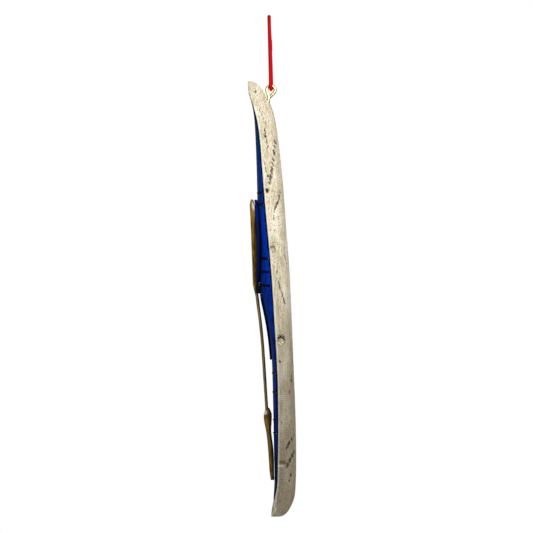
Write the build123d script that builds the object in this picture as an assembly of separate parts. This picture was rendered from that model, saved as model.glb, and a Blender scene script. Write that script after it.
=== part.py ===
from build123d import *
import math
import os

# A miniature kayak that hangs on a cord from a small brass screw eye near one tip.
# Millimetres. +Z up as it hangs, -Y the deck side, +Y the keel side, X across the beam.
# The origin is inside the top of the hanging loop, where a hook or peg carries it.
# Stations of the kayak are heights h above its lower end.

os.makedirs("parts", exist_ok=True)

# Driving dimensions
LOW_END_Z = -171.5  # of station 0, below the inside top of the loop
RIM = 0.9  # width of the hull's rim beside the deck
DECK_GAP = 0.25  # dark joint between the rim and the deck
DECK_SUNK = 0.8  # depth of the deck's edge below the rim
CORD_D = 1.25  # hanging cord
CORD_PLAY = 0.13  # between the cord's bight and the eye's wire
SPLICE_R = 0.73
WIRE_D = 1.0  # screw eye's wire
EYE_RADIUS = 1.46  # centreline of the eye's round top
EYE_Y = 0.62  # centre of the eye's round top
EYE_Z = -24.6
EYE_LEAN = 14.0  # degrees from vertical, of the eye's shank
EYE_REACH = 2.78  # from the round top's centre to the point where the legs meet
SHANK_D = 1.2
SHANK_FROM = 0.9  # the shank starts this far below the legs' meeting point
SHANK_LENGTH = 9.0
POINT_LENGTH = 1.2  # the shank's tapered end
RUNNING = 0.05  # radial clearance of the turning shank
LINE_D = 0.45  # thin deck lines
TACK_D = 0.6
TACK_INSET = 0.42  # from the deck's edge to a gunwale tack
TACK_HEAD = 0.55  # how far a tack reaches out of the deck, and into it
TACK_POINT = 0.8
DOWEL_D = 1.6
DOWEL_STATIONS = (64.0, 122.0)
DOWEL_IN_DECK = 1.4
DOWEL_IN_HULL = 1.6
SHAFT_D = 1.0

# Fair lines of the side view, as (station, Y)
SHEER = [(0, 0.7), (2, 0.85), (5, 1.48), (9, 2.42), (12, 2.8), (22, 3.0), (40, 3.0),
         (54, 2.6), (68, 1.75), (82, 0.9), (95, -0.35), (109, -1.5), (123, -2.7),
         (130, -3.2), (137, -4.3), (141, -5.4), (144, -6.45), (147, -7.15), (150, -7.3)]
KEEL = [(0, 4.0), (0.5, 5.2), (1.5, 6.3), (2.6, 7.05), (4, 7.85), (6.7, 8.75), (9, 9.03),
        (14, 9.27), (33, 9.15), (60, 8.1), (82, 7.15), (95, 6.2), (109, 5.2), (123, 4.0),
        (130, 3.0), (137, 2.0), (140.7, 1.05), (143.6, -0.35), (146.2, -1.85),
        (148.3, -3.4), (149.4, -4.6), (150, -6.5)]
RIDGE = [(5.4, 1.5), (7, 1.6), (12, 1.88), (26, 1.65), (44, 1.3), (54, 0.95), (61, 0.3), (68, -0.8),
         (76, -2.5), (82, -3.3), (95, -3.85), (109, -4.0), (123, -4.35), (130, -4.65),
         (137, -5.1), (141, -5.65), (144, -6.4)]
# Half of the beam in plan, as (station, X)
BEAM = [(0, 1.3), (1, 1.9), (4, 3.0), (8, 4.2), (14, 5.6), (26, 7.6), (40, 9.0), (55, 9.8),
        (75, 10.0), (95, 9.6), (109, 8.7), (123, 6.9), (135, 4.6), (143, 2.7), (147, 1.6),
        (149, 0.9), (150, 0.4)]
HULL_STATIONS = [0, 0.6, 1.6, 3.2, 6, 10, 15, 26, 40, 55, 70, 85, 100, 115, 127, 136, 142,
                 146, 148.6, 149.9]
DECK_STATIONS = [5.8, 8, 12, 20, 33, 45, 54, 61, 68, 76, 84, 96, 109, 116, 124, 132, 138,
                 142, 146]

# Cockpit, in plan
COCKPIT_H = 94.3
COCKPIT_HALF = (4.3, 12.9)  # half width and half length of the opening
WALL = 1.0  # coaming neck's wall
LIP_OVER = 0.9  # how far the lip stands out past the neck
WELL_FLOOR_Y = 4.2
LIP_T = 0.8
# Outer face of the lip in side view, as (station, Y)
LIP = [(78.9, -4.32), (81.4, -4.3), (84, -4.12), (88, -4.05), (95, -4.2), (100, -4.4),
       (105, -4.58), (107.6, -4.8), (109.3, -5.0)]

# Deck lines: stations of those across the whole deck, and of those beside the cockpit,
# each with the distance from the middle at which it starts
FULL_LINES = [28.9, 33.4, 42.9, 49.5, 111.4]
SIDE_LINES = [(79.6, 1.9), (84.2, 5.65), (88.8, 5.65), (107.4, 2.5)]
CENTRE_TACKS = [79.6, 107.4]  # stations of the side lines that are also tacked inboard

# Paddle, in side view: the shaft's centre, and each blade's two edges, as (station, Y)
SHAFT_ROUTE = [(84.0, -5.0), (79.1, -4.95), (76.2, -4.15), (73.0, -3.8), (67.5, -3.05),
               (60.0, -2.3), (48.0, -1.5), (36.0, -0.75), (33.5, -0.5)]
UPPER_OUTER = [(79.6, -5.58), (87.7, -5.8), (95.0, -6.08), (103.5, -6.43), (107.2, -6.62)]
UPPER_INNER = [(79.6, -4.47), (84.0, -4.29), (88.0, -4.21), (95.0, -4.36), (100.0, -4.56),
               (105.0, -4.75), (107.2, -4.95)]
UPPER_NOSE = [(108.95, -6.35), (109.3, -5.95), (108.9, -5.45)]
LOWER_OUTER = [(12.6, 0.65), (18.2, 0.02), (22.9, -0.26), (26.3, -0.59), (29.8, -1.05),
               (33.2, -1.72), (35.3, -1.8)]
LOWER_INNER = [(12.6, 1.72), (18.2, 1.65), (22.9, 1.45), (26.3, 1.03), (29.8, 0.69),
               (33.2, 0.88), (35.3, 0.88)]
SHOULDER = [(36.2, -1.5), (37.4, -0.95), (37.4, -0.05), (36.2, 0.6)]
BLADE_HALF = 3.3

# Keeper, in side view: its outline, and the slot that the shaft lifts out of
KEEPER = [(76.8, -4.3), (77.6, -4.5), (79.25, -4.5), (79.25, -3.42), (80.35, -3.42),
          (80.35, -1.0), (76.8, -1.0)]
KEEPER_SLOT = [(70, -9), (90, -9), (90, -4.05), (80.3, -4.05), (76.5, -3.5), (70, -3.0)]
KEEPER_HALF = 1.5
SLOT_PLAY = 0.1  # on each side of the shaft
PEG_H = 78.0  # station of the peg that holds the keeper in the deck
PEG_Y = (-3.1, -1.2)
PEG_R = 0.6


def along(points, h):
    """The fair line's value at station h: one cubic piece between each pair of points."""
    points = sorted(points)
    h = min(max(h, points[0][0]), points[-1][0])
    slopes = []
    for i, (x, y) in enumerate(points):
        before = points[max(i - 1, 0)]
        after = points[min(i + 1, len(points) - 1)]
        slopes.append((after[1] - before[1]) / (after[0] - before[0]))
    i = max(k for k, point in enumerate(points[:-1]) if point[0] <= h)
    (x0, y0), (x1, y1) = points[i], points[i + 1]
    run = x1 - x0
    t = (h - x0) / run
    start = (2 * t**3 - 3 * t**2 + 1) * y0 + (t**3 - 2 * t**2 + t) * run * slopes[i]
    end = (3 * t**2 - 2 * t**3) * y1 + (t**3 - t**2) * run * slopes[i + 1]
    return start + end


def z_at(h):
    return LOW_END_Z + h


def write(name, shape):
    """One STEP per piece, each checked as closed solids."""
    solids = [s for s in shape.solids() if s.volume > 1e-4]
    piece = solids[0] if len(solids) == 1 else Compound(children=solids)
    piece.label = name
    export_step(piece, f"parts/{name}.step")
    print(name, len(solids), "solids", round(sum(s.volume for s in solids), 2), "mm3")


def flat_face(edges):
    return make_face(Wire(edges))


def side_extrusion(outline, half_width):
    """A closed outline of (h, Y) points in the side view, as thick as twice half_width."""
    points = [(0, y, z_at(h)) for h, y in outline]
    face = flat_face(Polyline(*points, close=True).edges())
    return extrude(face, half_width, dir=(1, 0, 0), both=True)


def side_band(outer, inner, half_width, ends=()):
    """A strip in the side view between two splines through (h, Y) points."""
    up = Spline(*[(0, y, z_at(h)) for h, y in outer])
    down = Spline(*[(0, y, z_at(h)) for h, y in inner])
    top = Polyline(up @ 1, *[(0, y, z_at(h)) for h, y in ends], down @ 1)
    bottom = Line(down @ 0, up @ 0)
    edges = [up, *top.edges(), down, bottom]
    return extrude(flat_face(edges), half_width, dir=(1, 0, 0), both=True)


def plan_ellipse(half_x, half_z, h, y_from, y_to):
    plane = Plane(origin=(0, y_from, z_at(h)), x_dir=(1, 0, 0), z_dir=(0, 1, 0))
    return extrude(plane * Ellipse(half_x, half_z), y_to - y_from)


def hull_section(h):
    """Rounded half section of the hull, flat along the sheer."""
    b = along(BEAM, h)
    sheer = along(SHEER, h)
    depth = max(along(KEEL, h) - sheer, 0.5)
    z = z_at(h)
    half = [(1.0, 0.0), (0.985, 0.3), (0.86, 0.62), (0.55, 0.87)]
    right = [(b * x, sheer + depth * y, z) for x, y in half]
    left = [(-x, y, z) for x, y, z in reversed(right)]
    curve = Spline(*right, (0, sheer + depth, z), *left)
    return flat_face([curve, Line(left[-1], right[0])])


def deck_half_width(h):
    return along(BEAM, h) - RIM - DECK_GAP


def deck_curve(h, raised=0.0, narrowed=0.0):
    """The deck's crowned top at a station, from one edge to the other."""
    w = deck_half_width(h) - narrowed
    sheer = along(SHEER, h)
    edge = sheer - 0.05 - raised
    crown = max(sheer - along(RIDGE, h), 0.15)
    z = z_at(h)
    half = [(1.0, 0.0), (0.93, 0.34), (0.72, 0.68), (0.4, 0.91)]
    left = [(-w * x, edge - crown * y, z) for x, y in half]
    right = [(-x, y, z) for x, y, z in reversed(left)]
    return Spline(*left, (0, edge - crown, z), *right)


def deck_section(h):
    top = deck_curve(h)
    w = deck_half_width(h)
    low = along(SHEER, h) + DECK_SUNK
    z = z_at(h)
    sides = [Line(top @ 1, (w, low, z)), Line((w, low, z), (-w, low, z)),
             Line((-w, low, z), top @ 0)]
    return flat_face([top, *sides])


def rebate_section(h):
    w = deck_half_width(h) + DECK_GAP
    low = along(SHEER, h) + DECK_SUNK
    high = low - 4
    z = z_at(h)
    return flat_face(Polyline((-w, low, z), (w, low, z), (w, high, z), (-w, high, z),
                              close=True).edges())


def line_band(h, inner_end=0.0):
    """A thin line laid over the deck, half sunk, from gunwale to gunwale or, with
    inner_end, only outside that distance from the middle."""
    outer = deck_curve(h - LINE_D / 2, raised=LINE_D / 2, narrowed=0.35)
    inner = deck_curve(h - LINE_D / 2, raised=-LINE_D / 2, narrowed=0.35)
    edges = [outer, Line(outer @ 1, inner @ 1), inner, Line(inner @ 0, outer @ 0)]
    band = extrude(flat_face(edges), LINE_D, dir=(0, 0, 1))
    if inner_end:
        band -= Pos(0, 0, z_at(h)) * Box(2 * inner_end, 40, 4 * LINE_D)
    return band


def eye_plane_point(across, up):
    """A point in the eye's own plane, from its round top's centre, leaned with the shank."""
    a = math.radians(EYE_LEAN)
    return Vector(0, EYE_Y + across * math.cos(a) + up * math.sin(a),
                  EYE_Z - across * math.sin(a) + up * math.cos(a))


def rod(start, end, radius):
    start, end = Vector(*start), Vector(*end)
    plane = Plane(origin=start, z_dir=(end - start).normalized())
    return extrude(plane * Circle(radius), (end - start).length)


def make_screw_eye():
    """Round top, two straight legs to the point where they meet, and the shank."""
    r = WIRE_D / 2
    leg_turn = math.degrees(math.acos(EYE_RADIUS / EYE_REACH))
    # The legs leave the circle leg_turn degrees to each side of straight down.
    def on_circle(degrees_from_down):
        t = math.radians(degrees_from_down)
        return eye_plane_point(EYE_RADIUS * math.sin(t), -EYE_RADIUS * math.cos(t))
    start, middle, end = on_circle(leg_turn), on_circle(180), on_circle(-leg_turn)
    arc = ThreePointArc(start, middle, end)
    ring = sweep(Plane(origin=arc @ 0, z_dir=arc % 0) * Circle(r), path=arc)
    point = eye_plane_point(0, -EYE_REACH)
    eye = ring + rod(start, point, r) + rod(end, point, r)
    eye += Pos(*point) * Sphere(r)
    shank_top = eye_plane_point(0, -EYE_REACH - SHANK_FROM)
    shank_end = eye_plane_point(0, -EYE_REACH - SHANK_FROM - SHANK_LENGTH + POINT_LENGTH)
    eye += rod(point, shank_top, r)
    eye += rod(shank_top, shank_end, SHANK_D / 2)
    cone = Plane(origin=shank_end, z_dir=(shank_end - shank_top).normalized())
    eye += extrude(cone * Circle(SHANK_D / 2), POINT_LENGTH, taper=20)
    return eye


def eye_hole():
    """Pilot hole for the shank, with running clearance, dished where the eye's legs meet."""
    mouth = eye_plane_point(0, -EYE_REACH + SHANK_FROM)
    end = eye_plane_point(0, -EYE_REACH - SHANK_FROM - SHANK_LENGTH - 0.3)
    dish = Pos(*eye_plane_point(0, -EYE_REACH)) * Sphere(WIRE_D / 2 + 0.25)
    return rod(mouth, end, SHANK_D / 2 + RUNNING) + dish


def arc_radii(points):
    """For each inner corner of a route, the arc radius that its two runs allow."""
    radii = []
    for start, corner, end in zip(points, points[1:], points[2:]):
        before = Vector(*corner) - Vector(*start)
        after = Vector(*end) - Vector(*corner)
        turn = math.radians(before.get_angle(after))
        radii.append(0.45 * min(before.length, after.length) / math.tan(turn / 2))
    return radii


def tube_along(path, diameter):
    return sweep(Plane(origin=path @ 0, z_dir=path % 0) * Circle(diameter / 2), path=path)


def blade_plan(root_h, tip_h, y):
    """A paddle blade's outline seen from the deck side, root to tip, extruded through."""
    up = 1 if tip_h > root_h else -1
    length = abs(tip_h - root_h)
    half = [(0.0, 0.75), (0.12, 1.1), (0.4, 2.6), (0.72, BLADE_HALF), (0.92, 2.7), (0.985, 1.4)]
    right = [(x, y, z_at(root_h + up * length * t)) for t, x in half]
    tip = (0, y, z_at(tip_h))
    left = [(-x, y, z) for x, y, z in reversed(right)]
    outline = Spline(*right, tip, *left)
    face = flat_face([outline, Line(left[-1], right[0])])
    return extrude(face, 12, dir=(0, 1, 0))


def make_shaft():
    points = [(0, y, z_at(h)) for h, y in SHAFT_ROUTE]
    return tube_along(FilletPolyline(*points, radius=arc_radii(points)), SHAFT_D)


def cord_route():
    """Corners of the hanging cord: down the far side, through the eye, up the near side,
    over the hook and back down to the splice. The two strands lie a little apart in Y."""
    bight_z = EYE_Z + EYE_RADIUS - WIRE_D / 2 - CORD_D / 2 - CORD_PLAY
    top_z = CORD_D / 2
    return [(-2.45, 0.45, -11.0), (-1.4, 0.85, bight_z), (1.4, 0.5, bight_z),
            (3.5, 0.0, top_z), (-3.5, 0.0, top_z), (-2.75, 0.3, -7.0)]


def make_cord():
    points = cord_route()
    radii = arc_radii(points)
    path = FilletPolyline(*points, radius=radii)
    tube = tube_along(path, CORD_D)
    expected = path.length * math.pi * CORD_D**2 / 4
    print("cord length", round(path.length, 2), "radii", [round(r, 2) for r in radii],
          "tube volume over section times length", round(tube.volume / expected, 4))
    return tube, path


def above_deck(shape):
    """What stands out of the deck's top, without what the cut leaves below the deck."""
    return (shape - deck_blank).solids().sort_by(Axis.Y)[0]


# Hull with its rebate for the deck, its cockpit well and its holes
hull = loft([hull_section(h) for h in HULL_STATIONS])
rebate = loft([rebate_section(h) for h in DECK_STATIONS])
deck_blank = loft([deck_section(h) for h in DECK_STATIONS])
half_x, half_z = COCKPIT_HALF
well = plan_ellipse(half_x, half_z, COCKPIT_H, -12, WELL_FLOOR_Y)
hull = hull - rebate - deck_blank - well - eye_hole()

# Deck, with its cockpit opening, grooves for the lines and holes for their tacks
full_lines = [line_band(h) for h in FULL_LINES]
side_lines = [line_band(h, inner_end=start) for h, start in SIDE_LINES]
deck = deck_blank - well
for band in full_lines + side_lines:
    deck -= band

tack_places = []
for h in FULL_LINES + [h for h, start in SIDE_LINES]:
    tack_places.append((deck_half_width(h) - TACK_INSET, along(SHEER, h) - 0.2, h))
for h, start in SIDE_LINES:
    if h in CENTRE_TACKS:
        tack_places.append((start, along(RIDGE, h) + 0.12, h))
tacks = []
for x, y, h in tack_places:
    for side in (-1, 1):
        head = (side * x, y - TACK_HEAD, z_at(h))
        point = (side * x, y + TACK_POINT, z_at(h))
        tacks.append(rod(head, point, TACK_D / 2))
for tack in tacks:
    deck -= tack
full_lines = [band - Compound(children=tacks) for band in full_lines]
side_lines = [band - Compound(children=tacks) for band in side_lines]

# Dowels that locate the deck in the hull
dowels = []
for h in DOWEL_STATIONS:
    y = along(SHEER, h) + DECK_SUNK
    in_deck = (0, y - DOWEL_IN_DECK, z_at(h))
    in_hull = (0, y + DOWEL_IN_HULL, z_at(h))
    dowels.append(rod(in_deck, in_hull, DOWEL_D / 2))
for dowel in dowels:
    hull -= dowel
    deck -= dowel

# Coaming: a dark neck standing on the deck, and a lip over it
neck_out = plan_ellipse(half_x + WALL, half_z + WALL, COCKPIT_H, -9, 3)
lip_out = plan_ellipse(half_x + WALL + LIP_OVER, half_z + WALL + LIP_OVER, COCKPIT_H, -9, 3)
lip_inner_face = [(h, y + LIP_T) for h, y in LIP]
lip = side_band(LIP, lip_inner_face, 12) & (lip_out - well)
neck_slab = side_band(lip_inner_face, [(h, 1.5) for h, y in LIP], 12)
neck = neck_slab & (neck_out - well)
neck = above_deck(neck)
lip = above_deck(lip)
for piece in full_lines + side_lines + tacks:
    neck -= piece
    lip -= piece

# Raised plate on the foredeck, sharp at its lower end
plate_top = [(h, along(RIDGE, h) - 0.7) for h in (54.0, 58, 62, 66, 70, 74.5, 76.2)]
plate_low = [(h, 3.0) for h, y in plate_top]
plate = side_band(plate_top, plate_low, 6)
plate_plan = Polyline((-1.4, -9, z_at(53.5)), (1.4, -9, z_at(53.5)), (2.7, -9, z_at(77)),
                      (-2.7, -9, z_at(77)), close=True)
plate &= extrude(flat_face(plate_plan.edges()), 14, dir=(0, 1, 0))
plate = above_deck(plate)

# Seat and backrest in the well
seat = side_extrusion([(85, 3.4), (97, 3.4), (97, WELL_FLOOR_Y), (85, WELL_FLOOR_Y)], 2.6)
seat = fillet(seat.edges().filter_by(Axis.Y), 1.0)
hollow = Pos(0, 1.6, z_at(91)) * Sphere(2.35)
seat -= hollow
backrest = side_extrusion([(98, -0.6), (99.2, -0.9), (99.2, WELL_FLOOR_Y), (98, WELL_FLOOR_Y)],
                          2.4)
backrest = fillet(backrest.edges().filter_by(Axis.Z).sort_by(Axis.Y)[:2], 0.9)

# Paddle: shaft let into two blades
shaft = make_shaft()
upper_blade = side_band(UPPER_OUTER, UPPER_INNER, 5, ends=UPPER_NOSE)
upper_blade &= blade_plan(UPPER_OUTER[0][0], UPPER_NOSE[1][0] + 0.02, -10)
lower_blade = side_band(LOWER_OUTER, LOWER_INNER, 5, ends=SHOULDER)
lower_blade &= blade_plan(SHOULDER[1][0], LOWER_OUTER[0][0] - 0.02, -10)
upper_blade -= shaft
lower_blade -= shaft

# Keeper: a black saddle on the deck with a slot that the paddle's shaft lifts out of
keeper = side_extrusion(KEEPER, KEEPER_HALF)
keeper -= side_extrusion(KEEPER_SLOT, SHAFT_D / 2 + SLOT_PLAY)
keeper = above_deck(keeper - plate - neck - lip)
keeper_peg = rod((0, PEG_Y[0], z_at(PEG_H)), (0, PEG_Y[1], z_at(PEG_H)), PEG_R)
keeper += keeper_peg
deck -= keeper_peg

cord, cord_path = make_cord()
splice = rod(cord_path @ 1, cord_path @ 0, SPLICE_R)

write("hull", hull)
write("deck", deck)
write("foredeck_ridge", plate)
write("coaming_neck", neck)
write("coaming_lip", lip)
write("seat_pan", seat)
write("backrest", backrest)
write("paddle_keeper", keeper)
for number, band in enumerate(full_lines, start=1):
    write(f"deck_line_{number}", band)
for number, band in enumerate(side_lines, start=1):
    left, right = sorted(band.solids(), key=lambda s: s.center().X)
    write(f"side_line_left_{number}", left)
    write(f"side_line_right_{number}", right)
write("line_tacks", Compound(children=tacks))
write("deck_dowels", Compound(children=dowels))
write("paddle_shaft", shaft)
write("paddle_blade_upper", upper_blade)
write("paddle_blade_lower", lower_blade)
write("screw_eye", make_screw_eye())
write("cord_loop", cord)
write("cord_splice", splice)
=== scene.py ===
import math

import bpy
import numpy as np
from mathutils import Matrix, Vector, noise
from mathutils.bvhtree import BVHTree


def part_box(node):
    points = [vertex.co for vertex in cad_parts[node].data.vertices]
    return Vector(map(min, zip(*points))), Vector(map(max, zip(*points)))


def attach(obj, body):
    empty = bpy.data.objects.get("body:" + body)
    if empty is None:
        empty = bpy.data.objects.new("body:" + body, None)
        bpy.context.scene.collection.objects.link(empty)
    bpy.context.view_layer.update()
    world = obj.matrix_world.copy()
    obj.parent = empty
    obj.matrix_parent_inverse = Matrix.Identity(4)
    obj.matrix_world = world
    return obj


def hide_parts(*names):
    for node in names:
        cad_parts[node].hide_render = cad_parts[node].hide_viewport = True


# A miniature kayak hanging on a red cord. Metres, in the CAD frame: +Z up, -Y the deck
# side, +Y the keel side, X across the beam. MM turns the sizes below into metres.

MM = 0.001
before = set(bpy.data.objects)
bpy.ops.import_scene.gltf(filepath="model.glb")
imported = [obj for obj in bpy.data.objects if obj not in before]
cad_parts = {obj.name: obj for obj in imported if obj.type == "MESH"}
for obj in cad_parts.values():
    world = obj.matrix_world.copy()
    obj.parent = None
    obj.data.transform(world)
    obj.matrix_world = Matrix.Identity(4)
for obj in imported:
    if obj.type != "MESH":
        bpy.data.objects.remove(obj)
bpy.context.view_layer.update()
LOW_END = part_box("hull")[0].z
SCENE = bpy.context.scene


# ---------------------------------------------------------------- camera

CAMERA_AWAY = 0.88
VIEW_HEIGHT = 0.1836  # what the square picture covers at the kayak's middle plane
VIEW_CENTRE = Vector((0, -0.9 * MM, -85.4 * MM))


def add_camera():
    data = bpy.data.cameras.new("camera")
    data.sensor_width = 36
    data.lens = 36 * CAMERA_AWAY / VIEW_HEIGHT
    data.clip_start = 0.01
    data.clip_end = 20
    camera = bpy.data.objects.new("camera", data)
    SCENE.collection.objects.link(camera)
    camera.location = VIEW_CENTRE + Vector((CAMERA_AWAY, 0, 0))
    camera.rotation_euler = (math.pi / 2, 0, math.pi / 2)
    SCENE.camera = camera


# ---------------------------------------------------------------- meshes

def new_object(name, mesh):
    piece = bpy.data.objects.new(name, mesh)
    SCENE.collection.objects.link(piece)
    return piece


def mesh_from(name, points, faces, smooth=True):
    mesh = bpy.data.meshes.new(name)
    mesh.from_pydata([tuple(p) for p in points], [], faces)
    mesh.update()
    if smooth:
        mesh.shade_smooth()
    return new_object(name, mesh)


def apply_modifiers(piece):
    """Leaves the piece with the mesh that its modifiers make, and none of them."""
    evaluated = piece.evaluated_get(bpy.context.evaluated_depsgraph_get())
    mesh = bpy.data.meshes.new_from_object(evaluated)
    piece.modifiers.clear()
    old = piece.data
    piece.data = mesh
    bpy.data.meshes.remove(old)


def remeshed(name, node, voxel, smooth=2, swell=0.0):
    """A fine even mesh over a CAD node's shape, ready to be carved by vertex moves.
    voxel and swell are in millimetres; swell gives back what softening takes off."""
    piece = new_object(name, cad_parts[node].data.copy())
    piece.data.materials.clear()
    remesh = piece.modifiers.new("remesh", "REMESH")
    remesh.mode = "VOXEL"
    remesh.voxel_size = voxel * MM
    remesh.adaptivity = 0
    soften = piece.modifiers.new("soften", "SMOOTH")
    soften.iterations = smooth
    soften.factor = 0.5
    apply_modifiers(piece)
    piece.data.shade_smooth()
    if swell:
        set_points(piece.data, points_of(piece.data) + normals_of(piece.data) * swell * MM)
    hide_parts(node)
    return piece


def points_of(mesh):
    co = np.empty(len(mesh.vertices) * 3, np.float32)
    mesh.vertices.foreach_get("co", co)
    return co.reshape(-1, 3).astype(float)


def normals_of(mesh):
    no = np.empty(len(mesh.vertices) * 3, np.float32)
    mesh.vertices.foreach_get("normal", no)
    return no.reshape(-1, 3).astype(float)


def set_points(mesh, co):
    mesh.vertices.foreach_set("co", co.astype(np.float32).ravel())
    mesh.update()


def paint(mesh, name, values):
    """One number from 0 to 1 per vertex, which the material reads by name."""
    layer = mesh.attributes.new(name, "FLOAT", "POINT")
    layer.data.foreach_set("value", np.clip(values, 0, 1).astype(np.float32))


def rough(co, scale, seed=0.0):
    """Smooth noise from -1 to 1 at each point; scale is per metre on each axis."""
    scaled = co * np.array(scale) + seed
    return np.array([noise.noise(Vector(p)) for p in scaled])


def fade(distance, full, gone):
    """1 up to full, 0 from gone on, smooth between."""
    t = np.clip((gone - distance) / (gone - full), 0, 1)
    return t * t * (3 - 2 * t)


def rise(distance, none, full):
    """0 up to none, 1 from full on, smooth between."""
    return fade(-distance, -full, -none)


def to_segment(u, v, start, end):
    """Distance of the points (u, v) from a segment, all in millimetres."""
    a, b = np.array(start, float), np.array(end, float)
    run = b - a
    t = ((u - a[0]) * run[0] + (v - a[1]) * run[1]) / max(run @ run, 1e-9)
    t = np.clip(t, 0, 1)
    return np.hypot(u - a[0] - t * run[0], v - a[1] - t * run[1])


# ---------------------------------------------------------------- materials

class Look:
    """A material's node tree, with short calls for the nodes used here."""

    def __init__(self, name, roughness=0.5, metallic=0.0):
        self.material = bpy.data.materials.new(name)
        self.material.use_nodes = True
        self.nodes = self.material.node_tree.nodes
        self.links = self.material.node_tree.links
        self.shader = self.nodes["Principled BSDF"]
        self.shader.inputs["Roughness"].default_value = roughness
        self.shader.inputs["Metallic"].default_value = metallic
        self.place = self.nodes.new("ShaderNodeTexCoord").outputs["Object"]

    def noise(self, scale, stretch=(1, 1, 1), detail=3.0, distortion=0.0):
        """Noise whose features are 1/scale metres across, times stretch."""
        mapping = self.nodes.new("ShaderNodeMapping")
        mapping.inputs["Scale"].default_value = [scale / s for s in stretch]
        texture = self.nodes.new("ShaderNodeTexNoise")
        texture.inputs["Scale"].default_value = 1.0
        texture.inputs["Detail"].default_value = detail
        texture.inputs["Distortion"].default_value = distortion
        self.links.new(self.place, mapping.inputs["Vector"])
        self.links.new(mapping.outputs["Vector"], texture.inputs["Vector"])
        return texture.outputs["Fac"]

    def ramp(self, value, low, high, out_low=0.0, out_high=1.0):
        node = self.nodes.new("ShaderNodeMapRange")
        node.interpolation_type = "SMOOTHSTEP"
        node.inputs["From Min"].default_value = low
        node.inputs["From Max"].default_value = high
        node.inputs["To Min"].default_value = out_low
        node.inputs["To Max"].default_value = out_high
        self.links.new(value, node.inputs["Value"])
        return node.outputs["Result"]

    def painted(self, name):
        node = self.nodes.new("ShaderNodeAttribute")
        node.attribute_name = name
        return node.outputs["Fac"]

    def math(self, operation, a, b):
        node = self.nodes.new("ShaderNodeMath")
        node.operation = operation
        for socket, value in zip(node.inputs, (a, b)):
            if isinstance(value, (int, float)):
                socket.default_value = value
            else:
                self.links.new(value, socket)
        return node.outputs["Value"]

    def mix(self, factor, a, b):
        """Colour a to colour b by factor; each colour is a tuple or a socket."""
        node = self.nodes.new("ShaderNodeMix")
        node.data_type = "RGBA"
        if isinstance(factor, (int, float)):
            node.inputs["Factor"].default_value = factor
        else:
            self.links.new(factor, node.inputs["Factor"])
        for socket, value in ((node.inputs[6], a), (node.inputs[7], b)):
            if isinstance(value, tuple):
                socket.default_value = (*value, 1)
            else:
                self.links.new(value, socket)
        return node.outputs[2]

    def colour(self, socket):
        self.links.new(socket, self.shader.inputs["Base Color"])

    def roughness(self, socket):
        self.links.new(socket, self.shader.inputs["Roughness"])

    def gloss(self, level):
        self.shader.inputs["Specular IOR Level"].default_value = level

    def bump(self, height, depth, strength=0.5):
        node = self.nodes.new("ShaderNodeBump")
        node.inputs["Distance"].default_value = depth
        node.inputs["Strength"].default_value = strength
        self.links.new(height, node.inputs["Height"])
        self.links.new(node.outputs["Normal"], self.shader.inputs["Normal"])

    def on(self, *pieces):
        for piece in pieces:
            piece.data.materials.clear()
            piece.data.materials.append(self.material)


def dress(piece, look, body):
    """Gives a piece its material and its body."""
    look.on(piece)
    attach(piece, body)


def bleached_wood():
    look = Look("bleached_wood", roughness=0.72)
    grain = look.noise(2600, stretch=(1, 1, 14), detail=4)
    fine = look.noise(6500, stretch=(1, 1, 5), detail=2)
    blotch = look.noise(190, stretch=(1, 1, 2.2), detail=3, distortion=0.5)
    cream, tan, pale = (0.69, 0.625, 0.46), (0.46, 0.39, 0.265), (0.83, 0.775, 0.62)
    base = look.mix(look.ramp(grain, 0.36, 0.62), tan, cream)
    base = look.mix(look.ramp(blotch, 0.46, 0.66, 0, 0.75), base, pale)
    base = look.mix(look.ramp(fine, 0.60, 0.72, 0, 0.6), base, (0.25, 0.19, 0.11))
    speck = look.noise(2700, stretch=(1, 1, 1.6), detail=2)
    base = look.mix(look.ramp(speck, 0.58, 0.67, 0, 0.85), base, (0.15, 0.11, 0.06))
    # Stains, with painted shade towards the lower end and in the notch's hollow.
    base = look.mix(look.painted("stain_and_shade"), base, (0.22, 0.175, 0.105))
    # Dark marks, with painted shade in the notch's hollow.
    base = look.mix(look.painted("mark_and_shade"), base, (0.018, 0.009, 0.005))
    # Pale chips, and painted highlight along the rim's edge and on the notch's shelf.
    base = look.mix(look.painted("rub_and_highlight"), base, (0.84, 0.79, 0.66))
    look.colour(base)
    look.bump(look.math("ADD", grain, fine), 0.06 * MM, 0.55)
    look.gloss(0.15)
    return look


def blue_paint():
    look = Look("blue_paint", roughness=0.38)
    brush = look.noise(1500, stretch=(1, 1, 9), detail=3)
    cloud = look.noise(260, stretch=(1, 1, 3), detail=2)
    base = look.mix(look.ramp(brush, 0.35, 0.65), (0.0004, 0.019, 0.26), (0.0005, 0.036, 0.42))
    teal = look.math("MULTIPLY", look.painted("teal"), look.ramp(cloud, 0.3, 0.6, 0.45, 1.0))
    base = look.mix(teal, base, (0.001, 0.046, 0.20))
    chips = look.noise(2900, stretch=(1, 1, 2), detail=2)
    # Chipped paint, and painted highlight beside the lines' grooves.
    base = look.mix(look.math("MULTIPLY", look.painted("wear_and_painted_light"), look.ramp(chips, 0.55, 0.66)),
                    base, (0.02, 0.09, 0.24))
    # Dark grooves, joints and patches, painted shadow under the cockpit's lip, and painted
    # highlight and shade on the lip.
    base = look.mix(look.painted("dark"), base, (0.0008, 0.001, 0.003))
    look.colour(base)
    look.roughness(look.ramp(brush, 0.3, 0.7, 0.30, 0.46))
    look.bump(brush, 0.035 * MM, 0.5)
    look.gloss(0.015)
    return look


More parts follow.
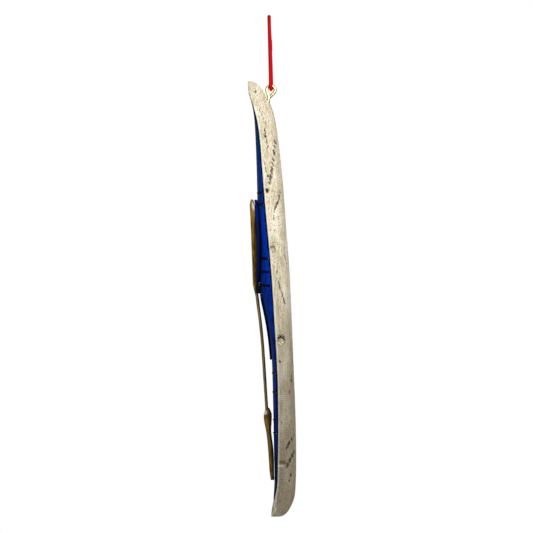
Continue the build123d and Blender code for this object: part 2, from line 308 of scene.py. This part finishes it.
def varnished_wood(name):
    look = Look(name, roughness=0.36)
    grain = look.noise(2300, stretch=(1, 1, 16), detail=4, distortion=0.4)
    base = look.mix(look.ramp(grain, 0.34, 0.66), (0.105, 0.056, 0.007), (0.31, 0.178, 0.024))
    # Painted highlight, pale where light catches the paddle.
    base = look.mix(look.painted("rub_and_highlight"), base, (0.74, 0.66, 0.50))
    # Painted shade on the paddle's inner side; the seat is evenly darker.
    base = look.mix(look.painted("dark"), base, (0.018, 0.008, 0.0015))
    look.colour(base)
    look.roughness(look.ramp(grain, 0.3, 0.7, 0.28, 0.48))
    look.bump(grain, 0.04 * MM, 0.5)
    look.gloss(0.05)
    return look


def black_finish(name, roughness, scale):
    look = Look(name, roughness=roughness)
    grime = look.noise(scale, detail=3)
    look.colour(look.mix(look.ramp(grime, 0.35, 0.7), (0.001, 0.001, 0.002),
                         (0.006, 0.007, 0.010)))
    look.roughness(look.ramp(grime, 0.3, 0.7, roughness - 0.08, roughness + 0.1))
    look.bump(grime, 0.03 * MM, 0.5)
    look.gloss(0.05)
    return look


def metal(name, dark, light, roughness):
    look = Look(name, roughness=roughness, metallic=1.0)
    tarnish = look.noise(900, detail=3)
    scratch = look.noise(5200, stretch=(1, 1, 4), detail=2)
    base = look.mix(look.ramp(tarnish, 0.40, 0.68), light, dark)
    # Painted shade, dark brown, where the eye's faces turn down and towards +Y.
    look.colour(look.mix(look.painted("down_facing_shade"), base, (0.035, 0.018, 0.004)))
    look.roughness(look.ramp(scratch, 0.3, 0.7, roughness - 0.06, roughness + 0.1))
    look.bump(scratch, 0.012 * MM, 0.4)
    return look


def red_textile():
    look = Look("red_cord", roughness=0.62)
    fibre = look.noise(7000, stretch=(1, 1, 3), detail=2)
    base = look.mix(look.ramp(fibre, 0.35, 0.65), (0.42, 0.0015, 0.004), (0.58, 0.004, 0.007))
    # Painted shade in the valleys between the strands and the turns of thread.
    base = look.mix(look.painted("valley_shade"), base, (0.20, 0.001, 0.002))
    look.colour(base)
    look.bump(fibre, 0.02 * MM, 0.5)
    look.gloss(0.04)
    return look


# ---------------------------------------------------------------- hanging cord

CORD_D = 1.25 * MM
# Down the far side, round the eye's wire, up the near side, over the hook and back down.
CORD_ROUTE = [(-2.45, 0.45, -11.0), (-1.65, 0.78, -20.0), (-1.4, 0.85, -24.395),
              (1.4, 0.5, -24.395), (1.65, 0.48, -20.0), (3.0, 0.12, -5.5),
              (3.5, 0.0, 0.625), (-3.5, 0.0, 0.625), (-3.1, 0.12, -3.6), (-2.75, 0.3, -7.0)]


def cord_line():
    """Closely spaced points along the route's smooth curve."""
    curve = bpy.data.curves.new("cord_route", "CURVE")
    curve.dimensions = "3D"
    spline = curve.splines.new("NURBS")
    spline.points.add(len(CORD_ROUTE) - 1)
    for point, place in zip(spline.points, CORD_ROUTE):
        point.co = (*[c * MM for c in place], 1)
    spline.order_u = 3
    spline.use_endpoint_u = True
    spline.resolution_u = 48
    holder = bpy.data.objects.new("cord_route", curve)
    SCENE.collection.objects.link(holder)
    bpy.context.view_layer.update()
    mesh = bpy.data.meshes.new_from_object(
        holder.evaluated_get(bpy.context.evaluated_depsgraph_get()))
    line = points_of(mesh)
    bpy.data.objects.remove(holder)
    bpy.data.meshes.remove(mesh)
    return line


def evenly(line, step):
    """The line's points again at even steps, and the line's length."""
    along = np.concatenate([[0], np.cumsum(np.linalg.norm(np.diff(line, axis=0), axis=1))])
    at = np.linspace(0, along[-1], int(along[-1] / step) + 1)
    return np.stack([np.interp(at, along, line[:, k]) for k in range(3)], axis=1), along[-1]


def carried_frames(line):
    """A side vector at each point of a line, turned no more than the line turns."""
    tangents = np.gradient(line, axis=0)
    tangents /= np.linalg.norm(tangents, axis=1)[:, None]
    side = np.cross(tangents[0], (0, 1, 0))
    sides = []
    for tangent in tangents:
        side = side - tangent * (side @ tangent)
        side /= np.linalg.norm(side)
        sides.append(side.copy())
    sides = np.array(sides)
    return sides, np.cross(tangents, sides)


def tube(name, line, radius_at, around=24):
    """A closed tube round a line. radius_at(step, angle) gives the radius in metres, so that
    relief can be modelled in it. Returns the piece and the (step, angle) of each vertex."""
    sides, ups = carried_frames(line)
    angles = np.arange(around) / around * 2 * np.pi
    steps = np.arange(len(line))
    grid_s, grid_a = np.meshgrid(steps, angles, indexing="ij")
    r = radius_at(grid_s, grid_a)
    points = (line[:, None, :] + sides[:, None, :] * (r * np.cos(grid_a))[..., None]
              + ups[:, None, :] * (r * np.sin(grid_a))[..., None]).reshape(-1, 3)
    faces = []
    for i in range(len(line) - 1):
        for j in range(around):
            k = (j + 1) % around
            faces.append((i * around + j, i * around + k, (i + 1) * around + k,
                          (i + 1) * around + j))
    faces.append(tuple(reversed(range(around))))
    last = (len(line) - 1) * around
    faces.append(tuple(range(last, last + around)))
    return mesh_from(name, points, faces), grid_s.ravel(), grid_a.ravel()


BRAID_PITCH = 0.95  # millimetres
BRAID_STRANDS = 6
BRAID_STEP = 0.07 * MM
BRAID_RELIEF = 0.07 * MM
WHIPPING_TURNS = 16
WHIPPING_STEPS = 90
WHIPPING_R = 0.62  # millimetres, at its two ends


def braid_height(steps, angles):
    """Relief of a round braid from 0 to 1: two sets of crossing strands."""
    along = 2 * np.pi * steps * BRAID_STEP / MM / BRAID_PITCH
    one = np.abs(np.sin(0.5 * (BRAID_STRANDS * angles + along)))
    other = np.abs(np.sin(0.5 * (BRAID_STRANDS * angles - along)))
    return np.maximum(one, other) ** 0.7 * 0.6 + 0.4 * one * other


def braid_radius(steps, angles):
    return CORD_D / 2 - BRAID_RELIEF + BRAID_RELIEF * braid_height(steps, angles)


def thread_height(steps, angles):
    """Relief of the whipping from 0 to 1: one thread wound round and round."""
    turn = steps / (WHIPPING_STEPS - 1) * WHIPPING_TURNS + angles / (2 * np.pi)
    return np.abs(np.sin(np.pi * turn))


def whipping_radius(steps, angles):
    ease = np.minimum(1, np.minimum(steps, WHIPPING_STEPS - 1 - steps) / 5)
    return (WHIPPING_R + 0.07 * ease + 0.05 * thread_height(steps, angles) ** 0.6 * ease) * MM


def make_cord(look):
    line, _ = evenly(cord_line(), BRAID_STEP)
    cord, steps, angles = tube("hanging_cord", line, braid_radius, around=40)
    # Painted shade in the braid's valleys.
    paint(cord.data, "valley_shade", 1 - np.clip(braid_height(steps, angles) * 1.5, 0, 1))
    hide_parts("cord_loop")
    dress(cord, look, "cord")

    # The whipped sleeve runs straight between the cord's two ends.
    along = np.linspace(0, 1, WHIPPING_STEPS)
    centre = line[0] + (line[-1] - line[0]) * along[:, None]
    splice, steps, angles = tube("cord_whipping", centre, whipping_radius, around=36)
    # Painted shade between the turns of thread.
    paint(splice.data, "valley_shade", 1 - np.clip(thread_height(steps, angles) * 1.8, 0, 1))
    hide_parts("cord_splice")
    dress(splice, look, "cord")


# ---------------------------------------------------------------- the rim's line

def read_rim():
    """Heights along the CAD hull and the Y of its rim at each, in millimetres."""
    co = points_of(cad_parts["hull"].data) / MM
    u = co[:, 2] - LOW_END / MM
    heights = np.arange(1, 150, 1.5)
    edges = []
    for h in heights:
        near = co[np.abs(u - h) < 2.5]
        edge = near[np.abs(near[:, 0]) > np.abs(near[:, 0]).max() - 0.6]
        edges.append(edge[:, 1].min() if len(edge) else 0)
    return heights, np.array(edges)


RIM_LINE = read_rim()


def sheer_of(u):
    """Y of the hull's rim at a height, in millimetres."""
    return np.interp(u, *RIM_LINE)


def height_of(co):
    """Millimetres above the kayak's lower end."""
    return (co[:, 2] - LOW_END) / MM


# ---------------------------------------------------------------- hull

# Marks on the hull's sides in millimetres: (height above the lower end, Y) of each end,
# half width, and depth. They are old cracks, worm tracks and knots.
CRACKS = [((81.2, 3.1), (79.6, 3.6), 0.12, 0.14), ((79.6, 3.6), (78.3, 3.75), 0.20, 0.18),
          ((77.8, 4.0), (76.9, 4.55), 0.13, 0.16), ((76.9, 4.55), (75.9, 4.7), 0.16, 0.16),
          ((75.3, 5.05), (73.9, 5.25), 0.24, 0.2), ((73.9, 5.25), (73.4, 5.6), 0.14, 0.1),
          ((34.0, 3.3), (32.4, 4.5), 0.07, 0.05), ((13.3, 4.0), (13.2, 4.9), 0.05, 0.03),
          ((48.9, 7.7), (48.2, 7.7), 0.2, 0.16),
          ((47.5, 7.65), (46.8, 7.7), 0.24, 0.16), ((43.5, 7.0), (42.8, 7.05), 0.18, 0.12),
          ((14.9, 7.5), (14.3, 7.45), 0.25, 0.16), ((12.9, 7.0), (12.4, 6.9), 0.22, 0.14)]
# Rows of short strokes: start, end, how many, stroke (height, Y) from end to end, half width
STROKE_ROWS = [((129.3, 2.2), (120.6, 1.25), 6, (-1.1, 0.55), 0.26),
               ((120.2, 1.2), (114.4, 0.1), 7, (-1.0, 0.50), 0.28),
               ((117.2, -0.3), (116.2, 0.6), 2, (-0.8, 0.30), 0.22),
               ((111.8, 3.9), (107.6, 3.0), 5, (-1.2, 0.25), 0.15),
               ((108.4, 3.1), (105.6, 1.95), 4, (1.1, 0.45), 0.30),
               ((105.0, 1.75), (101.4, 1.55), 4, (-0.5, 0.10), 0.18),
               ((28.6, 8.9), (26.4, 7.4), 4, (-0.9, 0.35), 0.16),
               ((26.2, 7.2), (23.9, 5.9), 4, (-0.8, -0.15), 0.30),
               ((22.8, 8.7), (17.2, 5.9), 10, (-0.8, 0.30), 0.24),
               ((133.6, -1.7), (126.9, -0.4), 9, (-0.6, -0.2), 0.19),
               ((122.0, -1.6), (116.2, -0.5), 7, (-0.6, 0.25), 0.12),
               ((90.4, 5.0), (87.2, 6.2), 6, (-0.5, 0.1), 0.13),
               ((140.5, -3.6), (133.5, -0.4), 8, (-0.7, 0.1), 0.10)]
SMALL_KNOT = 0.7  # a knot under this radius is dark all over
# Knots: centre, radius and darkness
KNOTS = [((146.2, -4.65), 0.42, 0.75), ((111.9, -0.72), 0.62, 1.0), ((91.9, 1.2), 0.9, 0.8),
         ((60.8, 4.15), 1.35, 1.0), ((53.6, 3.6), 0.42, 0.8), ((84.2, 2.6), 0.25, 0.9),
         ((130.7, -1.35), 0.36, 1.0), ((111.6, -0.55), 0.34, 0.9)]
# Bright chips: centre and radius
CHIPS = [((60.2, 4.7), 0.42), ((59.6, 4.1), 0.36), ((61.2, 4.5), 0.32), ((60.0, 3.4), 0.36),
         ((53.2, 3.2), 0.2), ((92.6, 0.9), 0.2), ((13.9, 2.6), 0.22)]


def raggedness(u, v):
    """Factor near 1 that makes a round mark's outline uneven."""
    return 1 + 0.22 * np.sin(u * 7.1 + 2.0 * np.sin(v * 5.3))


def hull_marks(u, v):
    """Depth in millimetres and darkness of every mark at (height, Y) points."""
    depth = np.zeros(len(u))
    dark = np.zeros(len(u))
    broken = 0.85 + 0.15 * np.sin(u * 9.1 + 1.7 * np.sin(v * 6.3))
    for start, end, half, deep in CRACKS:
        near = to_segment(u, v, start, end)
        depth += deep * fade(near, half * 0.3, half * 2.0)
        dark = np.maximum(dark, broken * fade(near, half * 0.6, half * 1.55))
    for start, end, count, stroke, half in STROKE_ROWS:
        start, end, stroke = np.array(start), np.array(end), np.array(stroke)
        for i in range(count):
            uneven = math.sin(2.3 * i + start[0])
            at = start + (end - start) * (i + 0.5 + 0.25 * uneven) / count
            run = stroke * (0.68 + 0.3 * math.sin(4.1 * i)) / 2
            size = half * (0.72 + 0.36 * abs(math.sin(1.7 * i + 1)))
            near = to_segment(u, v, at - run, at + run)
            depth += 0.16 * fade(near, size * 0.4, size * 1.9)
            black = (0.92 + 0.08 * uneven) * broken
            dark = np.maximum(dark, black * fade(near, size * 0.8, size * 1.55))
    ragged = raggedness(u, v)
    for (h, y), radius, black in KNOTS:
        reach = np.hypot((u - h) * 0.8, v - y) * ragged
        ring = np.abs(reach - radius * 0.8)
        upper = np.clip((u - h) / radius + 0.35, 0, 1)
        depth += 0.32 * radius * fade(ring, 0.08, radius * 0.4) * (0.3 + 0.7 * upper)
        depth += 0.22 * radius * fade(reach, radius * 0.3, radius)
        ring_dark = fade(ring, 0.16 * radius, radius * 0.42) * (0.30 + 0.70 * upper)
        dark = np.maximum(dark, black * ring_dark)
        if radius < SMALL_KNOT:
            dark = np.maximum(dark, black * fade(reach, radius * 0.6, radius * 1.15))
    return depth, dark


# Height and Y of a notch cut across the near side, and of the shelf below it; the notch's hollow
# gets painted shade and the shelf a painted highlight
NOTCH_H, NOTCH_Y = 19.0, 4.3
SHELF_H, SHELF_Y = 17.9, 3.9
# Height, Y and pitch of the saw's ripples beside the rim and of the wavy ones by the keel
SAW_H, SAW_Y, SAW_PITCH = 46, 4.0, 0.66
WAVY_H, WAVY_Y, WAVY_PITCH = 38, 6.6, 0.8
RIM_ENDS_H = 141  # the painted highlight along the rim's pale edge stops here, short of the tip


def saw_ripples(co, u, v):
    """Both kinds of ripple, as heights of either sign."""
    wander = 0.8 * rough(co, (300, 300, 120), 12.6)
    saw = fade(np.abs(u - SAW_H), 8, 12) * fade(np.abs(v - SAW_Y - wander), 0.6, 1.5)
    saw *= np.sin(2 * np.pi * u / SAW_PITCH + wander)
    wavy = fade(np.abs(u - WAVY_H), 9, 15) * fade(np.abs(v - WAVY_Y - wander), 0.8, 1.8)
    wavy *= np.sin(2 * np.pi * (u + 0.7 * v + 1.6 * wander) / WAVY_PITCH)
    return saw + 0.8 * wavy


def chip_cover(u, v):
    cover = np.zeros(len(u))
    ragged = raggedness(u, v)
    for (h, y), radius in CHIPS:
        cover = np.maximum(cover, fade(np.hypot(u - h, v - y) * ragged, radius * 0.5, radius))
    return cover


def carve_hull(hull):
    mesh = hull.data
    co, no = points_of(mesh), normals_of(mesh)
    u, v = height_of(co), co[:, 1] / MM
    outside = (co[:, 0] * no[:, 0] > 0).astype(float)
    facing = np.clip((np.abs(no[:, 0]) - 0.15) / 0.2, 0, 1)
    side = facing * outside
    far = co[:, 0] < 0
    depth, dark = hull_marks(u, v)
    # The far side has the same kind of marks in other places.
    far_depth, far_dark = hull_marks(151.0 - u + 3.2 * np.sin(u / 17), v * 0.9 + 0.7)
    depth = np.where(far, far_depth, depth) * side
    dark = np.where(far, far_dark, dark) * side

    hollow = fade(np.abs(u - NOTCH_H), 0.1, 1.0) * fade(np.abs(v - NOTCH_Y), 0.8, 2.1) * ~far
    shelf = fade(np.abs(u - SHELF_H), 0.1, 0.6) * fade(np.abs(v - SHELF_Y), 0.6, 1.6) * ~far
    chips = chip_cover(u, v) * side * ~far
    ripple = saw_ripples(co, u, v) * side
    facet = rough(co, (160, 160, 45), 3.1)
    wave = rough(co, (700, 700, 200), 8.7)
    pits = np.clip(rough(co, (2200, 2200, 1300), 1.9) - 0.38, 0, 1) * 2.2
    depth += (0.26 * hollow - 0.04 * shelf) * side
    depth += 0.07 * facet + 0.035 * wave + 0.05 * ripple - 0.05 * chips
    depth += 0.08 * pits * facing
    set_points(mesh, co - no * (np.maximum(depth, -0.05) * MM)[:, None])

    stain_and_shade = 0.5 * hollow + 0.42 * np.clip(ripple, 0, 1) + 0.45 * pits
    stain_and_shade += 0.28 * np.clip(rough(co, (240, 240, 60), 5.5) + 0.1, 0, 1)
    # Painted shade: darker towards the hanging kayak's lower end, where the light falls off.
    stain_and_shade += 0.34 * fade(u, 54, 84) + 0.20 * fade(u, 18, 50)
    # Painted highlight along the rim's pale edge.
    rim = fade(np.abs(v - sheer_of(u) - 0.15), 0.15, 0.55) * (u < RIM_ENDS_H)
    # The notch's hollow is darkened as painted shade; its shelf is lightened as a painted
    # highlight.
    paint(mesh, "mark_and_shade", np.maximum(dark, 0.25 * hollow))
    paint(mesh, "stain_and_shade", stain_and_shade)
    paint(mesh, "rub_and_highlight", (0.5 * shelf + 0.6 * rim) * outside + 0.75 * chips)


def make_hull(wood):
    hull = remeshed("hull_carved", "hull", 0.20, smooth=3)
    carve_hull(hull)
    dress(hull, wood, "kayak")


# ---------------------------------------------------------------- deck

def line_nodes():
    return sorted(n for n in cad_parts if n.startswith(("deck_line", "side_line")))


def groove_cover(co, u):
    """How near each point is to the grooves that the lines lie in, from 0 to 1."""
    cover = np.zeros(len(u))
    for node in line_nodes():
        low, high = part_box(node)
        middle = ((low.z + high.z) / 2 - LOW_END) / MM
        inside = (co[:, 0] > low.x - 0.3 * MM) & (co[:, 0] < high.x + 0.3 * MM)
        cover = np.maximum(cover, fade(np.abs(u - middle), 0.25, 0.6) * inside)
    return cover


def lip_shadow(co):
    """The ring of deck under the cockpit's lip, from 0 to 1."""
    low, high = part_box("coaming_lip")
    across = co[:, 0] / ((high.x - low.x) / 2)
    along = (co[:, 2] - (low.z + high.z) / 2) / ((high.z - low.z) / 2)
    return fade(np.hypot(across, along), 0.98, 1.12)


def outwardness(co, u):
    """0 on the middle line and 1 at the deck's edge."""
    heights = np.arange(u.min(), u.max() + 0.5, 0.5)
    widest = [np.abs(co[np.abs(u - h) < 0.6, 0]).max(initial=0.1 * MM) for h in heights]
    return np.abs(co[:, 0]) / np.interp(u, heights, widest)


def make_deck(blue):
    deck = remeshed("deck_panel", "deck", 0.22, smooth=2)
    co, no = points_of(deck.data), normals_of(deck.data)
    u = height_of(co)
    depth = 0.04 * rough(co, (500, 500, 120), 2.2) + 0.02 * rough(co, (2500, 2500, 500), 6.1)
    set_points(deck.data, co - no * (depth * MM)[:, None])
    above_rim = sheer_of(u) - co[:, 1] / MM
    joint = fade(above_rim, 0.25, 0.6) * rise(outwardness(co, u), 0.55, 0.8)
    grooves = groove_cover(co, u)
    patches = np.clip(rough(co, (420, 420, 160), 9.4) - 0.15, 0, 1)
    paint(deck.data, "dark", np.maximum.reduce([joint, grooves, 0.85 * lip_shadow(co),
                                                0.5 * patches]))
    paint(deck.data, "teal", fade(np.abs(co[:, 0]) / MM, 4.0, 7.5))
    # Worn paint and painted highlight along the edges of the lines' grooves.
    paint(deck.data, "wear_and_painted_light", np.clip(1.1 - 2 * np.abs(grooves - 0.4), 0, 1) * 0.8)
    dress(deck, blue, "kayak")


PLATE_LONGER = 0.5 * MM  # at the end that butts against the paddle's keeper


def make_ridge(blue):
    ridge = remeshed("foredeck_ridge_plate", "foredeck_ridge", 0.14, smooth=2)
    co, no = points_of(ridge.data), normals_of(ridge.data)
    moved = co - no * (0.03 * MM * rough(co, (900, 900, 300), 4.4))[:, None]
    moved[:, 2] += PLATE_LONGER * fade(moved[:, 2].max() - moved[:, 2], 0.2 * MM, 2.0 * MM)
    set_points(ridge.data, moved)
    walls = np.clip(np.abs(no[:, 0]) * 1.3, 0, 1)
    edge = np.clip(rough(moved, (1500, 1500, 500), 7.7) + 0.75, 0, 1)
    paint(ridge.data, "dark", walls * (0.55 + 0.45 * edge))
    paint(ridge.data, "teal", 1 - walls)
    paint(ridge.data, "wear_and_painted_light", fade(np.abs(np.abs(no[:, 0]) - 0.6), 0.1, 0.35))
    dress(ridge, blue, "kayak")


LIP_PROUD = 0.10 * MM  # how far the lip's outer face is moved towards the paddle


def make_coaming(blue, black):
    lip = remeshed("cockpit_lip", "coaming_lip", 0.12, smooth=2, swell=0.05)
    co, no = points_of(lip.data), normals_of(lip.data)
    co = co - no * (0.02 * MM * rough(co, (1200, 1200, 400), 1.4))[:, None]
    co[:, 1] -= LIP_PROUD * np.clip(-no[:, 1], 0, 1)
    set_points(lip.data, co)
    # The lip is painted a darker blue; its less dark upper end is a painted highlight and its
    # darker inner face, turned to +Y, is painted shade.
    upper = rise(height_of(co), 98, 105)
    inner = np.clip(no[:, 1] * 1.2, 0, 1)
    paint(lip.data, "dark", 0.82 - 0.25 * upper + 0.28 * inner)
    paint(lip.data, "teal", 0.15 * np.ones(len(co)))
    paint(lip.data, "wear_and_painted_light", 0.2 * fade(np.abs(no[:, 1] + 0.55), 0.1, 0.4))
    dress(lip, blue, "kayak")
    neck = remeshed("cockpit_neck", "coaming_neck", 0.12, smooth=2)
    dress(neck, black, "kayak")


def make_seat(wood, black):
    seat = remeshed("seat", "seat_pan", 0.12, smooth=3)
    count = len(seat.data.vertices)
    paint(seat.data, "rub_and_highlight", np.zeros(count))
    paint(seat.data, "dark", 0.3 * np.ones(count))
    dress(seat, wood, "kayak")
    back = remeshed("backband", "backrest", 0.12, smooth=4)
    dress(back, black, "kayak")


LINE_R = 0.185 * MM
LINE_WEAVE = 0.025 * MM
LINE_SMOOTHINGS = 12


def line_radius(steps, angles):
    return LINE_R + LINE_WEAVE * np.abs(np.sin(1.5 * angles + steps * 0.5))


def line_path(node):
    """The line's middle, a little off the outer face of its CAD band."""
    low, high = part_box(node)
    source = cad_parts[node].data
    tree = BVHTree.FromPolygons([v.co for v in source.vertices],
                                [p.vertices[:] for p in source.polygons])
    z = (low.z + high.z) / 2
    path = []
    for x in np.linspace(low.x + 0.05 * MM, high.x - 0.05 * MM, 60):
        hit, normal, _, _ = tree.ray_cast(Vector((x, low.y - 0.005, z)), Vector((0, 1, 0)))
        if hit is not None and normal.y < -0.2:
            sag = 0.05 * MM * math.sin(x / MM * 1.3 + z * 4000)
            path.append(hit - normal * 0.21 * MM + Vector((0, 0, sag)))
    line, _ = evenly(np.array([list(p) for p in path]), 0.06 * MM)
    for _ in range(LINE_SMOOTHINGS):
        line[1:-1] = (line[:-2] + 2 * line[1:-1] + line[2:]) / 4
    return line


def make_lines(black):
    """Round elastic lines lying where the CAD bands lie."""
    for node in line_nodes():
        elastic, _, _ = tube("elastic_" + node, line_path(node), line_radius, around=12)
        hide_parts(node)
        dress(elastic, black, "kayak")


# A tack's turned outline: radius and distance below the head's top, in millimetres
TACK_OUTLINE = [(0.0, 0.0), (0.12, 0.015), (0.22, 0.06), (0.29, 0.13), (0.31, 0.19),
                (0.29, 0.22), (0.14, 0.24), (0.14, 1.0), (0.05, 1.25), (0.0, 1.3)]
TACK_SIDES = 20
TACKS_APART = 0.8 * MM  # points closer than this belong to one tack


def tack_spots():
    """Each CAD tack's middle and the Y of its outer end."""
    spots = []
    for point in points_of(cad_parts["line_tacks"].data):
        for spot in spots:
            if np.hypot(*(point - spot["sum"] / spot["n"])[[0, 2]]) < TACKS_APART:
                spot["sum"] += point
                spot["n"] += 1
                spot["top"] = min(spot["top"], point[1])
                break
        else:
            spots.append({"sum": point.copy(), "n": 1, "top": point[1]})
    return [(spot["sum"] / spot["n"], spot["top"]) for spot in spots]


def make_tacks(nickel):
    """Domed heads over the CAD tacks, one turned piece for all of them."""
    points, faces = [], []
    for middle, top in tack_spots():
        base = len(points)
        for radius, down in TACK_OUTLINE:
            for j in range(TACK_SIDES):
                a = 2 * math.pi * j / TACK_SIDES
                points.append((middle[0] + radius * MM * math.cos(a), top + down * MM,
                               middle[2] + radius * MM * math.sin(a)))
        for i in range(len(TACK_OUTLINE) - 1):
            ring, below = base + i * TACK_SIDES, base + (i + 1) * TACK_SIDES
            for j in range(TACK_SIDES):
                k = (j + 1) % TACK_SIDES
                faces.append((ring + j, below + j, below + k, ring + k))
    tacks = mesh_from("tack_heads", points, faces)
    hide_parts("line_tacks")
    dress(tacks, nickel, "kayak")


# ---------------------------------------------------------------- paddle

def across_side(co, u):
    """0 at a blade's outer edge and 1 at its inner edge, as seen from the side."""
    y = co[:, 1] / MM
    bins = np.arange(u.min(), u.max() + 0.5, 0.5)
    which = np.clip(np.digitize(u, bins) - 1, 0, len(bins) - 1)
    low = np.array([y[which == k].min(initial=99) for k in range(len(bins))])
    high = np.array([y[which == k].max(initial=-99) for k in range(len(bins))])
    return (y - low[which]) / np.maximum(high[which] - low[which], 0.1)


SHOULDER_H = 35.7  # where the lower blade meets the shaft
NOSE_H = 107.2  # upper end of the upper blade


def lower_blade_highlight_and_shade(u, across):
    """How much painted highlight and painted shade the blade gets at each point."""
    rub_and_highlight = fade(np.abs(u - SHOULDER_H - 0.5 * across), 0.4, 0.9)
    rub_and_highlight *= fade(np.abs(np.abs(across - 0.5) - 0.34), 0.16, 0.28)
    dark = rise(across, 0.42, 0.72) + 0.25 * fade(np.abs(across - 0.45), 0.03, 0.1)
    return rub_and_highlight, dark


# Painted highlight near the nose; painted shade along one line and at the inner edge.
def upper_blade_highlight_and_shade(u, across):
    rub_and_highlight = 0.75 * fade(np.abs(u - NOSE_H + 2.5 * (across - 0.5)), 0.6, 1.8)
    rub_and_highlight *= fade(np.abs(across - 0.62), 0.08, 0.3)
    dark = 0.1 * fade(np.abs(across - 0.30), 0.05, 0.22) + 0.5 * rise(across, 0.9, 1.0)
    return rub_and_highlight, dark


# Painted highlight in a stripe along the shaft; painted shade, stronger towards the inner side.
def shaft_highlight_and_shade(u, across):
    return 0.25 * fade(np.abs(across - 0.35), 0.05, 0.2), 0.3 + 0.7 * rise(across, 0.55, 0.85)


# Piece, CAD node, rounds of smoothing, painted highlight and shade
PADDLE = [("blade_upper", "paddle_blade_upper", 3, upper_blade_highlight_and_shade),
          ("blade_lower", "paddle_blade_lower", 1, lower_blade_highlight_and_shade),
          ("shaft", "paddle_shaft", 3, shaft_highlight_and_shade)]


def make_paddle(wood):
    for name, node, softening, wear_and_painted_light in PADDLE:
        piece = remeshed(name, node, 0.1, smooth=softening, swell=0.05)
        co, no = points_of(piece.data), normals_of(piece.data)
        u = height_of(co)
        dents = 0.03 * rough(co, (700, 700, 200), 2.7) + 0.01 * rough(co, (3000, 3000, 700), 5.2)
        set_points(piece.data, co - no * (dents * MM)[:, None])
        # The rub and dark layers here are painted highlight and painted shade.
        rub_and_highlight, dark = wear_and_painted_light(u, across_side(co, u))
        paint(piece.data, "rub_and_highlight", rub_and_highlight)
        paint(piece.data, "dark", dark)
        dress(piece, wood, "paddle")


KEEPER_HIGHER = 0.42 * MM  # at its top outer corner, which closes up to the cockpit's lip


def make_keeper(rubber):
    keeper = remeshed("keeper_saddle", "paddle_keeper", 0.09, smooth=2, swell=0.04)
    co, no = points_of(keeper.data), normals_of(keeper.data)
    co = co - no * (0.02 * MM * rough(co, (1800, 1800, 1800), 3.9))[:, None]
    u = height_of(co)
    outer = fade(co[:, 1] / MM, -3.6, -3.2)
    co[:, 2] += KEEPER_HIGHER * rise(u, 78.0, 79.3) * (u < 79.8) * outer
    set_points(keeper.data, co)
    dress(keeper, rubber, "kayak")


def make_eye(brass):
    eye = remeshed("brass_eye", "screw_eye", 0.075, smooth=3, swell=0.03)
    # Painted shade: the brass is darkened on faces turned down and towards +Y.
    facing_down = normals_of(eye.data) @ np.array([0.1, 0.62, -0.78])
    paint(eye.data, "down_facing_shade", 0.95 * rise(facing_down, 0.35, 0.75))
    dress(eye, brass, "eye")


# ---------------------------------------------------------------- studio

ROOM_LIGHT = 0.30  # what the white room gives the object; the camera sees it at full white
FLOOR_DEPTH = -0.35
FLOOR_RADIUS = 1.2
FLOOR_SIDES = 96


def add_light(name, place, aim, size, power, spread=180):
    data = bpy.data.lights.new(name, "AREA")
    data.shape = "SQUARE"
    data.size = size
    data.energy = power
    data.spread = math.radians(spread)
    light = bpy.data.objects.new(name, data)
    SCENE.collection.objects.link(light)
    light.location = place
    light.rotation_euler = (Vector(aim) - Vector(place)).to_track_quat("-Z", "Y").to_euler()


def add_studio():
    world = bpy.data.worlds.new("studio")
    SCENE.world = world
    world.use_nodes = True
    nodes, links = world.node_tree.nodes, world.node_tree.links
    room = nodes["Background"]
    room.inputs["Color"].default_value = (1, 1, 1, 1)
    room.inputs["Strength"].default_value = ROOM_LIGHT
    seen = nodes.new("ShaderNodeBackground")
    seen.inputs["Color"].default_value = (1, 1, 1, 1)
    seen.inputs["Strength"].default_value = 1.0
    ray = nodes.new("ShaderNodeLightPath")
    either = nodes.new("ShaderNodeMixShader")
    links.new(ray.outputs["Is Camera Ray"], either.inputs["Fac"])
    links.new(room.outputs["Background"], either.inputs[1])
    links.new(seen.outputs["Background"], either.inputs[2])
    links.new(either.outputs["Shader"], nodes["World Output"].inputs["Surface"])
    add_light("key", (0.26, 0.09, 0.008), (0, 0, -0.041), 0.12, 0.082, spread=50)
    add_light("front", (0.72, 0.30, 0.25), (0, 0, -0.07), 0.4, 1.1)
    add_light("fill", (-0.8, -0.12, 0.25), (0, 0, -0.07), 0.4, 1.1)

    turns = [2 * math.pi * i / FLOOR_SIDES for i in range(FLOOR_SIDES)]
    ring = [(FLOOR_RADIUS * math.cos(a), FLOOR_RADIUS * math.sin(a), FLOOR_DEPTH) for a in turns]
    floor = mesh_from("floor", ring, [tuple(range(FLOOR_SIDES))], smooth=False)
    look = Look("floor_paper", roughness=0.9)
    look.colour(look.mix(look.noise(40, detail=2), (0.93, 0.93, 0.93), (0.96, 0.96, 0.96)))
    look.on(floor)
    SCENE.view_settings.view_transform = "Standard"


add_camera()
red = red_textile()
make_cord(red)
bleached, blue, tan = bleached_wood(), blue_paint(), varnished_wood("varnished_wood")
black_paint = black_finish("black_paint", 0.42, 1400)
black_elastic = black_finish("black_elastic", 0.55, 4000)
black_rubber = black_finish("black_rubber", 0.5, 2600)
brass = metal("brass", (0.50, 0.36, 0.10), (0.93, 0.84, 0.34), 0.28)
nickel = metal("nickel", (0.10, 0.10, 0.10), (0.40, 0.41, 0.42), 0.4)
make_hull(bleached)
make_deck(blue)
make_ridge(blue)
make_coaming(blue, black_paint)
make_seat(tan, black_paint)
make_lines(black_elastic)
make_tacks(nickel)
make_paddle(tan)
make_keeper(black_rubber)
make_eye(brass)
varnished_wood("plain_dowel").on(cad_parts["deck_dowels"])
add_studio()
